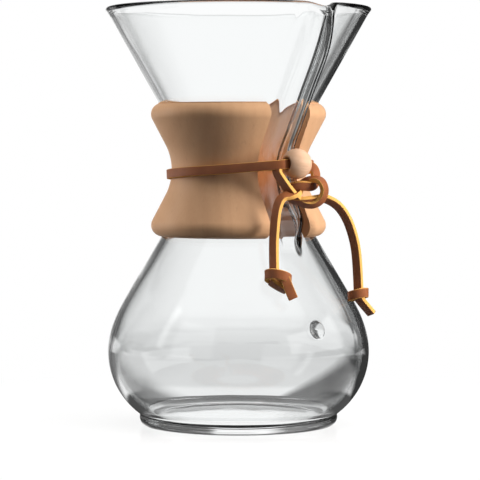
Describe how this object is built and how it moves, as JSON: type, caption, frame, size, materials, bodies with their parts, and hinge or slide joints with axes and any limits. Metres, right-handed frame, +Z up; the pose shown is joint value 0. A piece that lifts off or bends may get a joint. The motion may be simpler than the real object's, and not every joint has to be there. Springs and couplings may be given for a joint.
{
  "type": "pour-over coffee maker",
  "caption": "Hourglass glass pour-over coffee maker with a wooden collar held round its neck by a leather thong and bead.",
  "frame": {"origin": "centre of the vessel's foot, on the plane that it stands on", "axes": "+Z up along the vessel's axis, -Y towards the pouring spout, the bead and the knot"},
  "size_m": [0.1318, 0.1361, 0.2088],
  "materials": {
    "glass": "gloss",
    "wood": "satin",
    "bead_wood": "satin",
    "leather": "matte"
  },
  "bodies": {
    "vessel": {"glass_vessel": "glass", "collar_half_left": "wood", "collar_half_right": "wood", "tie_band": "leather", "tie_knot": "leather", "tie_tail_left": "leather", "tie_tail_right": "leather", "tie_end_knot_left": "leather", "tie_end_knot_right": "leather"},
    "bead": {"bead": "bead_wood"}
  },
  "joints": [
    {"name": "bead_spin", "type": "hinge", "parent": "vessel", "child": "bead", "pos_m": [0, -0.04655, 0.1312], "axis": [1, 0, 0], "continuous": true}
  ]
}
